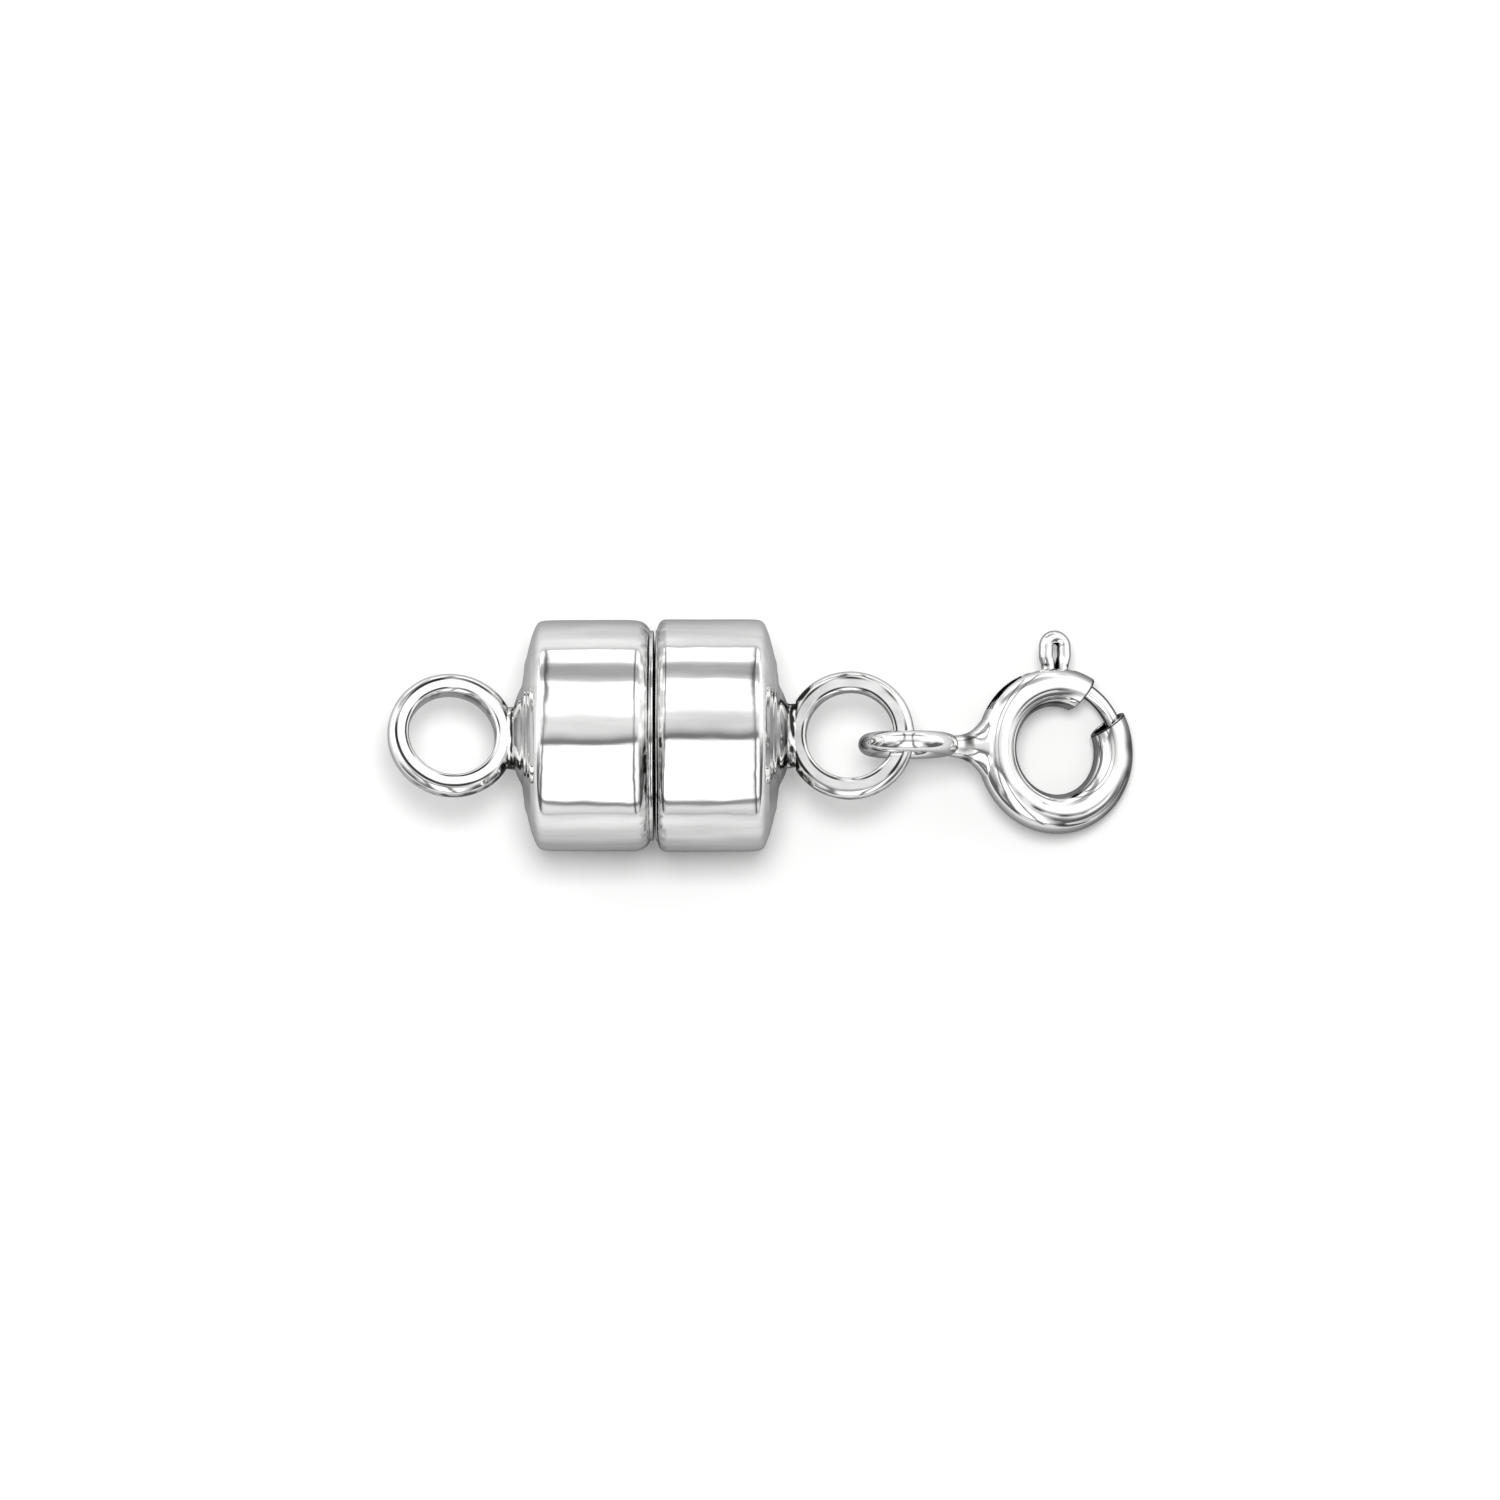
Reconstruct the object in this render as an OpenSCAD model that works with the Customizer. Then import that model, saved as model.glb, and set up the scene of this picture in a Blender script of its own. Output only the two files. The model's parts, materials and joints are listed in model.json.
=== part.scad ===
// Magnetic clasp converter for a necklace or bracelet, in millimetres.
// Two silver cups, each holding a disc magnet, snap together face to face into a barrel.
// Each cup has an end ring soldered to its dome. A spring ring clasp hangs on the right
// end ring by its own closed loop. The clasp lies on a surface at z = 0, with its long
// axis along X, the free end ring to the left (-X) and the spring ring to the right (+X).

/* [Barrel] */
// Outer diameter of both cups
barrel_d = 7.0; // [5.5:0.1:9]
// Length of the left cup from the seam to its shoulder
left_len = 3.55; // [3.1:0.05:5]
// Length of the right cup from the seam to its shoulder
right_len = 3.3; // [3.1:0.05:5]
// Thickness of the cup's wall
wall = 0.3; // [0.2:0.02:0.4]
// Slope of the conical end of a cup, in degrees
dome_slope = 14.5; // [8:0.5:22]
// Rounding between the side of a cup and its conical end
shoulder_round = 0.4; // [0.1:0.05:0.6]
// Length of the left cup's mouth that is rolled in over its magnet
left_mouth_len = 0.58; // [0.3:0.02:0.8]
// Length of the right cup's mouth that is rolled in over its magnet
right_mouth_len = 0.42; // [0.3:0.02:0.8]
// How far the mouth of a cup is rolled in
mouth_depth = 0.28; // [0.1:0.02:0.4]
// Gap between the rims of the two cups
seam_gap = 0.06; // [0.04:0.01:0.2]

/* [Magnets] */
// Thickness of each disc magnet
magnet_len = 2.5; // [1.5:0.1:2.6]
// Clearance between a magnet and its cup
magnet_clear = 0.05; // [0.03:0.01:0.12]

/* [End rings] */
// Diameter of the hole in an end ring
ring_hole_d = 2.66; // [2.2:0.02:3.4]
// Width of the ring's flat wire, seen from above
ring_w = 0.62; // [0.4:0.02:0.8]
// Thickness of the ring's flat wire
ring_t = 0.66; // [0.4:0.02:0.8]
// Rounding along the ring's outer edges
ring_edge = 0.2; // [0.06:0.02:0.2]
// Rounding along the edges of the ring's hole
ring_hole_edge = 0.05; // [0.03:0.01:0.1]
// Depth to which the ring is let into the solder pad
ring_sink = 0.12; // [0.05:0.01:0.2]
// Diameter of the solder pad on the dome
pad_d = 1.9; // [1.4:0.1:2.6]
// Height of the solder pad
pad_h = 0.12; // [0.05:0.01:0.3]
// Turn of the left half about the barrel's axis, in degrees
left_roll = -15; // [-45:1:45]
// Turn of the right half about the barrel's axis, in degrees
right_roll = -3; // [-12:1:12]
// Lift of the left ring's far edge, in degrees
left_pitch = 8; // [0:1:12]
// Lift of the right ring's far edge, in degrees
right_pitch = 3; // [0:1:12]

/* [Spring ring] */
// Outer diameter of the spring ring
spring_ring_d = 5.1; // [4.6:0.1:7]
// Outer diameter of the tube that it is bent from
tube_d = 1.2; // [1.05:0.01:1.4]
// Wall of the tube
tube_wall = 0.13; // [0.08:0.01:0.16]
// Width of the gap at the inside of the ring
gap_w = 1.1; // [0.8:0.05:1.4]
// Angle from the X axis to the middle of the gap, in degrees
gap_angle = 45; // [35:1:55]
// Flare of each side of the gap, in degrees
gap_flare = 7; // [0:1:12]
// Free length between the connector loop and the ring's tube
neck_len = 0.8; // [0.6:0.05:1.5]
// Diameter of the neck where it meets the tube
neck_d = 1.1; // [0.7:0.02:1.16]

/* [Connector loop] */
// Outer diameter of the closed loop that passes through the right end ring
loop_d = 3.05; // [2.8:0.05:3.6]
// Diameter of the loop's wire
loop_wire_d = 0.64; // [0.45:0.01:0.7]
// Distance of the loop and the spring ring from the barrel's axis, seen from above
link_offset = 0.25; // [0:0.05:0.5]
// Clearance between the loop and the end ring
link_clear = 0.05; // [0.03:0.01:0.1]

/* [Tongue] */
// Diameter of the bent wire that closes the gap
tongue_wire_d = 0.46; // [0.34:0.02:0.48]
// Clearance between the wire and the tube's bore, on the outer side
tongue_clear = 0.05; // [0.03:0.01:0.08]
// Length of the tip that rests inside the tube beyond the gap, in degrees
tongue_overlap = 8; // [4:1:14]
// Angle from the X axis to the thumb lever when the gap is closed, in degrees
lever_angle = 90; // [86:1:96]
// Turn of the lever that opens the gap, in degrees
lever_travel = 50; // [44:1:52]
// Diameter of the lever's wire
lever_wire_d = 0.42; // [0.3:0.02:0.42]
// Outer width of the lever's wire loop
lever_w = 1.08; // [1.0:0.02:1.3]
// Height of the lever above the tube
lever_h = 1.16; // [0.9:0.02:1.6]

/* [Hidden] */
$fn = 64;
arc_steps = 8;
bite = 0.01;

// Barrel
barrel_r = barrel_d / 2;
cup_bore_r = barrel_r - wall;
rim_r = barrel_r - mouth_depth;
rim_s = seam_gap / 2;
pad_r = pad_d / 2;
pad_taper = 0.9;
mouth_r = rim_r - wall * cos(atan2(mouth_depth, left_mouth_len));
dome_rise = (barrel_r - pad_r) * tan(dome_slope);
wall_along = wall / cos(dome_slope);

// End rings, whose centre stands clear of the pad by their radius less what is let in
hole_r = ring_hole_d / 2;
ring_r = hole_r + ring_w;
ring_mid_r = hole_r + ring_w / 2;
ring_reach = ring_r - ring_sink;
function pad_s(len) = len + dome_rise + pad_h;
function ring_s(len) = pad_s(len) + ring_reach;

// The loop hangs on the far side of the right end ring, where the ring's wire passes its plane
loop_r = loop_d / 2;
loop_wire_r = loop_wire_d / 2;
loop_mid_r = loop_r - loop_wire_r;
loop_hole_r = loop_r - loop_wire_d;
loop_play = loop_hole_r - ring_w / 2 - link_clear;
loop_lead = 0.3 * loop_play;
loop_drop = sqrt(pow(loop_hole_r - ring_hole_edge - link_clear, 2)
                 - pow(ring_w / 2 - ring_hole_edge + loop_lead, 2)) - (ring_t / 2 - ring_hole_edge);
wire_x = sqrt(pow(ring_mid_r, 2) - pow(link_offset, 2));
loop_x = ring_s(right_len) + wire_x * cos(right_pitch) + loop_lead;
loop_z = barrel_r + wire_x * sin(right_pitch) - link_offset * sin(right_roll) - loop_drop;

// The spring ring slopes down from the loop until the far side of its tube meets the surface
spring_r = spring_ring_d / 2;
tube_r = tube_d / 2;
bore_r = tube_r - tube_wall;
tube_mid_r = spring_r - tube_r;
link_len = loop_r + neck_len + spring_r;
spring_tilt = asin((loop_z - tube_r) / (link_len + tube_mid_r));
spring_x = loop_x + link_len * cos(spring_tilt);
spring_z = loop_z - link_len * sin(spring_tilt);

// Gap of the spring ring: where its sides cross the tube's centre line
gap_half = (gap_w / 2 + tube_r * tan(gap_flare)) / tube_mid_r * 180 / PI;
gap_start = gap_angle - gap_half;
gap_end = gap_angle + gap_half;

// Tongue and lever
tongue_wire_r = tongue_wire_d / 2;
lever_wire_r = lever_wire_d / 2;
tongue_mid_r = tube_mid_r + bore_r - tongue_clear - tongue_wire_r;
tongue_start = gap_start - tongue_overlap;
lever_mid = (lever_w - lever_wire_d) / 2;
lever_turn_r = spring_r + lever_h - lever_wire_r - lever_mid;
leg_foot = lever_wire_r * 0.7;
leg_rise = lever_turn_r - tongue_mid_r;
leg_turn = atan2(leg_foot, -leg_rise) - acos(lever_mid / norm([leg_rise, leg_foot]));
foot_span = atan2(leg_foot + lever_wire_r, tube_mid_r);
tongue_end = lever_angle + foot_span + 3;
slot_w = lever_wire_d + 2 * tongue_clear;
slot_start = lever_angle - foot_span - 4;
slot_end = lever_angle + lever_travel + foot_span + 2;

// The origin lies under the middle of the whole clasp
left_edge = ring_s(left_len) + (ring_r - ring_edge) * cos(left_pitch)
            + (ring_t / 2 - ring_edge) * sin(left_pitch) + ring_edge;
right_edge = spring_x + tube_mid_r * cos(spring_tilt) + tube_r;
seam_x = (left_edge - right_edge) / 2;

function unit(v) = v / norm(v);

// Points that round the corner at b, between a and c, to the radius f
function rounded(a, b, c, f) =
    let (u = unit(a - b), v = unit(c - b), half = acos(u * v) / 2,
         centre = b + unit(u + v) * f / sin(half),
         from = b + u * f / tan(half) - centre,
         to = b + v * f / tan(half) - centre,
         start = atan2(from.y, from.x),
         sweep = (atan2(to.y, to.x) - start + 540) % 360 - 180)
    [for (i = [0 : arc_steps])
        centre + f * [cos(start + sweep * i / arc_steps), sin(start + sweep * i / arc_steps)]];

// Everything is made with the seam at x = 0 and the barrel's axis at z = 0
module lifted() {
    translate([seam_x, 0, barrel_r]) children();
}

// A profile of [radius, distance from the seam] turned about the X axis
module turned(points) {
    rotate([0, 90, 0]) rotate_extrude() polygon(points);
}

module cup_shell(len, mouth_len) {
    shoulder = [barrel_r, len];
    pad_edge = [pad_r, len + dome_rise];
    mouth_start = [barrel_r, rim_s + mouth_len];
    rim = [rim_r, rim_s];
    difference() {
        turned(concat(
            [[0, rim_s], rim],
            rounded(rim, mouth_start, shoulder, mouth_len * 0.9),
            rounded(mouth_start, shoulder, pad_edge, shoulder_round),
            [pad_edge, [pad_r * pad_taper, pad_s(len)], [0, pad_s(len)]]));
        turned([
            [0, rim_s - bite],
            [mouth_r, rim_s - bite],
            [mouth_r, rim_s],
            [cup_bore_r, rim_s + mouth_len],
            [cup_bore_r, len - wall_along + wall * tan(dome_slope)],
            [0, len - wall_along + barrel_r * tan(dome_slope)]]);
    }
}

// A flat-wire ring standing out from the pad, with its far edge lifted by the pitch
module end_ring(len, pitch) {
    half = ring_t / 2;
    corners = [[hole_r, -half], [ring_r, -half], [ring_r, half], [hole_r, half]];
    edges = [ring_hole_edge, ring_edge, ring_edge, ring_hole_edge];
    translate([ring_s(len), 0, 0]) rotate([0, -pitch, 0])
        rotate_extrude() polygon([for (i = [0 : 3])
            each rounded(corners[(i + 3) % 4], corners[i], corners[(i + 1) % 4], edges[i])]);
}

module cup(len, mouth_len, pitch) {
    cup_shell(len, mouth_len);
    end_ring(len, pitch);
}

// A disc magnet, its front edge bevelled to sit behind the rolled mouth of its cup
module magnet(mouth_len) {
    face_s = rim_s / 2;
    turned([
        [0, face_s],
        [mouth_r - magnet_clear, face_s],
        [cup_bore_r - magnet_clear, rim_s + mouth_len + magnet_clear],
        [cup_bore_r - magnet_clear, face_s + magnet_len],
        [0, face_s + magnet_len]]);
}

// The left half is the same as the right one, turned round to face it
module left_half() {
    lifted() rotate([left_roll, 0, 0]) rotate([0, 0, 180]) children();
}

module right_half() {
    lifted() rotate([right_roll, 0, 0]) children();
}

module left_cup() {
    color([0.86, 0.86, 0.87]) left_half() cup(left_len, left_mouth_len, left_pitch);
}

module left_magnet() {
    color([0.62, 0.62, 0.64]) left_half() magnet(left_mouth_len);
}

module right_cup() {
    color([0.86, 0.86, 0.87]) right_half() cup(right_len, right_mouth_len, right_pitch);
}

module right_magnet() {
    color([0.62, 0.62, 0.64]) right_half() magnet(right_mouth_len);
}

// The spring ring's own frame: its centre at the origin and its axis along Z
module on_spring_ring() {
    translate([seam_x + spring_x, -link_offset, spring_z]) rotate([0, spring_tilt, 0]) children();
}

module torus(mid_r, wire) {
    rotate_extrude() translate([mid_r, 0]) circle(wire);
}

// The parallel-sided notch through the tube, slightly flared outwards
module gap_cut() {
    near = gap_w / 2;
    inside_r = tube_mid_r - tube_r;
    depth = tube_d * 1.6;
    far = near + depth * tan(gap_flare);
    rotate([0, 0, gap_angle]) translate([inside_r * cos(gap_half), 0, -tube_d])
        linear_extrude(2 * tube_d)
            polygon([[-bite * 20, -near], [depth, -far], [depth, far], [-bite * 20, near]]);
}

// The slot in the tube's outer wall along which the lever moves
module lever_slot() {
    rotate([0, 0, slot_start])
        rotate_extrude(angle = slot_end - slot_start)
            translate([tube_mid_r + bore_r * 0.6, -slot_w / 2]) square([tube_d, slot_w]);
}

// The neck widens from the loop's wire to the tube
module neck() {
    neck_start = spring_r + neck_len + loop_wire_r * 0.3;
    translate([-neck_start, 0, 0]) rotate([0, 90, 0])
        cylinder(r1 = loop_wire_r * 0.98, r2 = neck_d / 2, h = neck_start - tube_mid_r);
}

module spring_ring() {
    color([0.86, 0.86, 0.87]) on_spring_ring() difference() {
        union() {
            torus(tube_mid_r, tube_r);
            neck();
            translate([-link_len, 0, 0]) rotate([90, 0, 0]) torus(loop_mid_r, loop_wire_r);
        }
        torus(tube_mid_r, bore_r);
        gap_cut();
        lever_slot();
    }
}

// One leg of the lever, from its foot on the tongue up to the loop that it runs into
module lever_leg(side) {
    foot = [tongue_mid_r, side * leg_foot, 0];
    knee = [lever_turn_r + lever_mid * cos(leg_turn), side * lever_mid * sin(leg_turn), 0];
    run = knee - foot;
    translate(foot) rotate([0, 90, atan2(run.y, run.x)])
        cylinder(r = lever_wire_r * 0.94, h = norm(run) + bite);
}

module lever() {
    for (side = [-1, 1]) lever_leg(side);
    translate([lever_turn_r, 0, 0]) rotate([0, 0, -leg_turn])
        rotate_extrude(angle = 2 * leg_turn) translate([lever_mid, 0]) circle(lever_wire_r);
}

module tongue() {
    color([0.86, 0.86, 0.87]) on_spring_ring() {
        rotate([0, 0, tongue_start])
            rotate_extrude(angle = tongue_end - tongue_start)
                translate([tongue_mid_r, 0]) circle(tongue_wire_r);
        rotate([0, 0, lever_angle]) lever();
    }
}

left_cup();
left_magnet();
right_cup();
right_magnet();
spring_ring();
tongue();
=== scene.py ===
"""Magnetic clasp: two polished silver cups held face to face by disc magnets, each with a
soldered end ring, and a spring ring that hangs on the right end ring by its connector loop."""

import json
import math

import bmesh
import bpy
from mathutils import Matrix, Vector, noise


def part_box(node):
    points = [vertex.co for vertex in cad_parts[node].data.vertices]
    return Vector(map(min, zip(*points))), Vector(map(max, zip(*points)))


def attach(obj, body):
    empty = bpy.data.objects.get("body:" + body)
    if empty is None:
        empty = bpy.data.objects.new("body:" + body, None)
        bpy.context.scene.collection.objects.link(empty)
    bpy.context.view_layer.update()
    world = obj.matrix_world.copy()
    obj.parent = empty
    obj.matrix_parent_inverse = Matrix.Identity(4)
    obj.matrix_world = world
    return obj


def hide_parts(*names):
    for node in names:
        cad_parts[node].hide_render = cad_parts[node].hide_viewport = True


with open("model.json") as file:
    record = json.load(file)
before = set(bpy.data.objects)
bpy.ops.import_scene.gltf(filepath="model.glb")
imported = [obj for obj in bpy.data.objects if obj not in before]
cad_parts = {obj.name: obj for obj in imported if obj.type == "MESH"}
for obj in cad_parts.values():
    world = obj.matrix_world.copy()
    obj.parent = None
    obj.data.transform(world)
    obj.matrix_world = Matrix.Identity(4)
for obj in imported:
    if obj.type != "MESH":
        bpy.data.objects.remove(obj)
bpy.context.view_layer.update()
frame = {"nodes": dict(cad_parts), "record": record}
noise.seed_set(4)  # without it the silver's unevenness would differ from run to run

# Sizes, in millimetres

MM = 0.001
BARREL_R = 3.5
WALL = 0.3
RIM_FROM_SEAM = 0.03

# The end of a cup, from its barrel over the shoulder to the low boss under the solder: distance
# along the axis from the shoulder's corner, and radius
DOME = [(-1.0, 3.5), (-0.65, 3.498), (-0.36, 3.490), (-0.17, 3.472), (-0.06, 3.432),
        (0.015, 3.355), (0.075, 3.24), (0.14, 3.07), (0.21, 2.86), (0.29, 2.58), (0.365, 2.22),
        (0.43, 1.85), (0.49, 1.52), (0.55, 1.35), (0.615, 1.20), (0.675, 1.06), (0.72, 0.93),
        (0.745, 0.76), (0.752, 0.40), (0.752, 0.0)]
# The rings that stamping leaves in it: depth, distance from ring to ring, and phase
DOME_WAVES = [(0.013, 0.95, 0.0), (0.005, 0.43, 1.0)]

# The two halves, from the seam outwards. Of the mouth: where its lip is, the length rolled in
# behind it, how far the barrel is drawn down beyond that, and how sharply. Turns in degrees: the
# half about the barrel's axis, and the end ring's rise. How oval and how uneven the cup is. Of the
# painted shade: where its line crosses the solder, measured from the shoulder, and how wide it is,
# how strong it is round the boss and as a veil over it, where the mouth's crease is ragged, in
# radians round the axis, how far the painted mottled reflection reaches, and which side of the
# ring's rim takes painted shade
LEFT = {"length": 3.55, "lip": 0.14, "mouth": 0.54, "crown": 0.7, "curl": 8.0,
        "roll": -15.0, "pitch": 8.0, "oval": 0.0, "uneven": 0.022,
        "joint": 0.80, "joint_width": 0.05, "scale": 0.42, "veil": 0.36,
        "ragged": (0.66, 0.28), "mottled": 0.52, "rim_shade": 110.0}
RIGHT = {"length": 3.30, "lip": 0.07, "mouth": 0.33, "crown": 0.5, "curl": 11.0,
         "roll": -3.0, "pitch": 3.0, "oval": 0.018, "uneven": 0.015,
         "joint": 0.86, "joint_width": 0.10, "scale": 0.74, "veil": 0.12,
         "ragged": (-0.19, 0.08), "mottled": 0.44, "rim_shade": 250.0}
LIP_R = 3.19
MOUTH_INNER_R = 2.99
SOLDER_FROM_SHOULDER = 0.70
RING_CENTRE_FROM_SHOULDER = 2.6095

RING_HOLE_R = 1.33
RING_OUTER_R = 1.95
RING_THICK = 0.66
RING_HOLE_EDGE = 0.11
RING_RIM_EDGE = 0.24

RING_MID_R = 1.95
TUBE_R = 0.6
TUBE_BORE_R = 0.47
DROOP = math.radians(22.5)
GAP_ANGLE = math.radians(45.0)
GAP_HALF_WIDTH = 0.55
GAP_FLARE = math.radians(7.0)
SLOT_START = math.radians(75.63)
SLOT_END = math.radians(152.37)
SLOT_HALF_WIDTH = 0.26
LINK_LEN = 4.875
LOOP_MID_R = 1.205
LOOP_WIRE_R = 0.32

TONGUE_MID_R = 2.14
TONGUE_WIRE_R = 0.23
TONGUE_START = math.radians(18.68)
TONGUE_END = math.radians(103.37)
LEVER_ANGLE = math.radians(90.0)
LEVER_WIRE_R = 0.21
LEVER_TURN_R = 3.17
LEVER_HALF_WIDTH = 0.30
# A burr at the lever's foot: distance from the ring's centre, distance to the side, and radius
BURR = [(2.48, 0.20, 0.13), (2.50, 0.27, 0.13), (2.515, 0.33, 0.12), (2.52, 0.37, 0.085),
        (2.522, 0.395, 0.03)]

SHARP_EDGE = math.radians(38.0)

# Where the parts stand

joints = {j["name"]: j for j in frame["record"]["behaviour"]["joints"]}
seam_x = (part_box("left_cup")[1].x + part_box("right_cup")[0].x) / 2
axis_z = joints["swivel"]["pos_m"][2]


def half_place(half, faces_left):
    """The frame of one half: the seam at its origin, and +X from the seam to its end ring."""
    turn = Matrix.Rotation(math.pi, 4, "Z") if faces_left else Matrix.Identity(4)
    return (Matrix.Translation((seam_x, 0, axis_z))
            @ Matrix.Rotation(math.radians(half["roll"]), 4, "X") @ turn @ Matrix.Scale(MM, 4))


def spring_ring_place():
    """The spring ring's frame: its centre at the origin, and its axis along Z."""
    lever = joints["thumb_lever"]
    tilt = math.atan2(lever["axis"][0], lever["axis"][2])
    return (Matrix.Translation(lever["pos_m"]) @ Matrix.Rotation(tilt, 4, "Y")
            @ Matrix.Scale(MM, 4))


# Profiles and meshes

def filleted(corners, steps):
    """A path through corners of (x, y, rounding)."""
    path = []
    for i, (x, y, rounding) in enumerate(corners):
        if rounding == 0 or i in (0, len(corners) - 1):
            path.append((x, y))
            continue
        here = Vector((x, y))
        before = (Vector(corners[i - 1][:2]) - here).normalized()
        after = (Vector(corners[i + 1][:2]) - here).normalized()
        half = before.angle(after) / 2
        centre = here + (before + after).normalized() * rounding / math.sin(half)
        a = here + before * rounding / math.tan(half) - centre
        b = here + after * rounding / math.tan(half) - centre
        start = math.atan2(a.y, a.x)
        sweep = (math.atan2(b.y, b.x) - start + 3 * math.pi) % (2 * math.pi) - math.pi
        for k in range(steps + 1):
            angle = start + sweep * k / steps
            path.append((centre.x + rounding * math.cos(angle),
                         centre.y + rounding * math.sin(angle)))
    return path


def closed_fillets(corners, steps):
    """The same for a closed outline."""
    path = filleted([corners[-1]] + corners + [corners[0]], steps)
    return path[1:-1]


def dense(path, step):
    """The path with extra points, so that none of its pieces is longer than the step."""
    points = [path[0]]
    for a, b in zip(path, path[1:]):
        n = max(1, math.ceil(math.dist(a, b) / step))
        points += [tuple(p + (q - p) * k / n for p, q in zip(a, b)) for k in range(1, n + 1)]
    return points


def smooth_path(points, steps):
    """A smooth curve through the points."""
    full = [points[0]] + points + [points[-1]]
    path = []
    for a, b, c, d in zip(full, full[1:], full[2:], full[3:]):
        for k in range(steps):
            t = k / steps
            path.append(tuple(
                0.5 * (2 * q + (r - p) * t + (2 * p - 5 * q + 4 * r - s) * t * t
                       + (3 * q - p - 3 * r + s) * t ** 3)
                for p, q, r, s in zip(a, b, c, d)))
    path.append(points[-1])
    return path


class Form:
    """A mesh in the making, in millimetres."""

    def __init__(self):
        self.verts = []
        self.faces = []
        self.painted_shades = {}

    def add(self, other):
        """Joins another form's points and faces to this one."""
        start = len(self.verts)
        self.verts += other.verts
        self.faces += [tuple(start + i for i in face) for face in other.faces]
        self.painted_shades.update({start + i: amount for i, amount in other.painted_shades.items()})

    def painted_shade(self, amount_at, start=0):
        """Painted shade where the function of a point gives more than nothing."""
        for i in range(start, len(self.verts)):
            amount = amount_at(self.verts[i])
            if amount > 0.01:
                self.painted_shades[i] = max(amount, self.painted_shades.get(i, 0))

    def grid(self, rows, closed=False):
        """Quads over rows of points that each run round; returns the index of each point. Closed
        rows join the last to the first."""
        start = len(self.verts)
        wide = len(rows[0])
        for row in rows:
            self.verts += [Vector(p) for p in row]
        index = [[start + r * wide + c for c in range(wide)] for r in range(len(rows))]
        for r in range(len(rows) if closed else len(rows) - 1):
            for c in range(wide):
                r2, c2 = (r + 1) % len(rows), (c + 1) % wide
                self.faces.append((index[r][c], index[r][c2], index[r2][c2], index[r2][c]))
        return index

    def cap(self, ring, outwards, middle=None):
        """Closes a ring of points with a fan about its middle, or about the point given."""
        if middle is None:
            middle = sum((self.verts[i] for i in ring), Vector()) / len(ring)
        self.verts.append(middle)
        top = len(self.verts) - 1
        for a, b in zip(ring, ring[1:] + ring[:1]):
            self.faces.append((a, b, top) if outwards else (b, a, top))

    def loft(self, rows):
        """Joins closed outlines of points to a body with both of its ends closed."""
        index = self.grid(rows)
        self.cap(index[0], outwards=True)
        self.cap(index[-1], outwards=False)

    def lathe(self, path, steps):
        """Turns a path of (distance along X, radius) about the X axis, with its ends on it."""
        rows = []
        for s, r in path[1:-1]:
            rows.append([(s, r * math.cos(t), r * math.sin(t))
                         for t in (2 * math.pi * k / steps for k in range(steps))])
        index = self.grid(rows)
        self.cap(index[0], outwards=True, middle=Vector((path[0][0], 0, 0)))
        self.cap(index[-1], outwards=False, middle=Vector((path[-1][0], 0, 0)))

    def sweep(self, path, radii, sides, place=None, closed=False, up=(0, 0, 1)):
        """A round wire along a path, with one radius or a list of them, one for each point."""
        place = place or Matrix.Identity(4)
        count = len(path)
        rows = []
        for i, point in enumerate(path):
            a = path[i - 1] if closed or i else path[i]
            b = path[(i + 1) % count] if closed or i < count - 1 else path[i]
            along = (Vector(b) - Vector(a)).normalized()
            side = along.cross(Vector(up)).normalized()
            over = side.cross(along)
            radius = radii[i] if isinstance(radii, list) else radii
            rows.append([place @ (Vector(point) + side * radius * math.cos(t)
                                  + over * radius * math.sin(t))
                         for t in (2 * math.pi * k / sides for k in range(sides))])
        if closed:
            self.grid(rows, closed=True)
        else:
            self.loft(rows)

    def ripple(self, size, wavelength, seed):
        """The slight unevenness that hand polishing leaves."""
        for v in self.verts:
            v += noise.noise_vector(v / wavelength + Vector((seed, 0, 0))) * size

    def piece(self, name, place, material, body, nodes):
        """Makes the Blender object, smooth but for its sharp edges."""
        mesh = bpy.data.meshes.new(name)
        mesh.from_pydata([place @ v for v in self.verts], [], self.faces)
        bm = bmesh.new()
        bm.from_mesh(mesh)
        bm.verts.ensure_lookup_table()
        # the painted shade mask, by which the material darkens the colour
        painted_shade = bm.verts.layers.float.new("painted_shade")
        for i, amount in self.painted_shades.items():
            bm.verts[i][painted_shade] = amount
        bmesh.ops.remove_doubles(bm, verts=bm.verts, dist=1e-9)
        bmesh.ops.recalc_face_normals(bm, faces=bm.faces)
        for face in bm.faces:
            face.smooth = True
        for edge in bm.edges:
            edge.smooth = len(edge.link_faces) == 2 and edge.calc_face_angle() < SHARP_EDGE
        bm.to_mesh(mesh)
        bm.free()
        mesh.materials.append(material)
        obj = bpy.data.objects.new(name, mesh)
        bpy.context.scene.collection.objects.link(obj)
        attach(obj, body)
        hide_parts(*nodes)
        return obj


# The cups and their end rings

def dome_wave(radius):
    """The rings that stamping leaves in the end of a cup."""
    fade = min(1.0, max(0.0, (3.15 - radius) / 0.5)) * min(1.0, radius / 0.8)
    return fade * sum(size * math.sin(2 * math.pi * radius / wave_len + shift)
                      for size, wave_len, shift in DOME_WAVES)


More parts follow.
